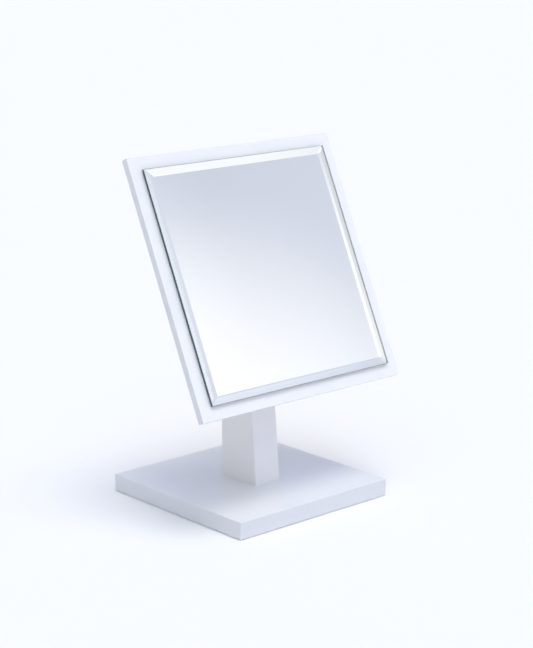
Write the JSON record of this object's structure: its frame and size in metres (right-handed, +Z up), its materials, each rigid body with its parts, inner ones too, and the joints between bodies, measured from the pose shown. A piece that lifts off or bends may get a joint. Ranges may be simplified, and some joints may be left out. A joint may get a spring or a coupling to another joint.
{
  "type": "countertop mirror",
  "caption": "Square bevelled mirror on a white panel that tilts with friction on a white post and square base, for a counter.",
  "frame": {"origin": "middle of the base, on the surface that the feet stand on", "axes": "+Z up, the mirror faces -Y and leans back towards +Y, +X along the pivot"},
  "size_m": [0.266, 0.2, 0.3627],
  "materials": {
    "white_lacquer": "satin white lacquer on fibreboard",
    "clear_glass": "polished, bevel ground and polished",
    "silvering": "silver behind glass, grey paint at the back",
    "foam_tape": "closed-cell foam",
    "powder_coat": "fine white powder coat",
    "zinc_steel": "bright zinc plate",
    "brass": "turned",
    "washer_fibre": "pressed fibre",
    "foot_rubber": "matt"
  },
  "bodies": {
    "stand": {"base_board": "white_lacquer", "post": "white_lacquer", "post_bolts": "zinc_steel", "post_washers": "zinc_steel", "post_inserts": "brass", "pivot_sleeve": "brass", "foot_front_left": "foot_rubber", "foot_front_right": "foot_rubber", "foot_rear_left": "foot_rubber", "foot_rear_right": "foot_rubber"},
    "head": {"mirror_panel": "white_lacquer", "mirror_glass": "clear_glass", "silver_backing": "silvering", "mounting_tape": "foam_tape", "hinge_bracket_left": "powder_coat", "hinge_bracket_right": "powder_coat", "bracket_screws": "zinc_steel", "bracket_washers": "zinc_steel", "bracket_nuts": "zinc_steel", "pivot_bolt": "zinc_steel", "friction_washer_left": "washer_fibre", "friction_washer_right": "washer_fibre", "disc_spring": "zinc_steel", "pivot_washer": "zinc_steel", "lock_nut": "zinc_steel"}
  },
  "joints": [
    {"name": "head_tilt", "type": "hinge", "parent": "stand", "child": "head", "pos_m": [0, 0.00861, 0.2421], "axis": [-1, 0, 0], "range_deg": [-22, 30]}
  ]
}
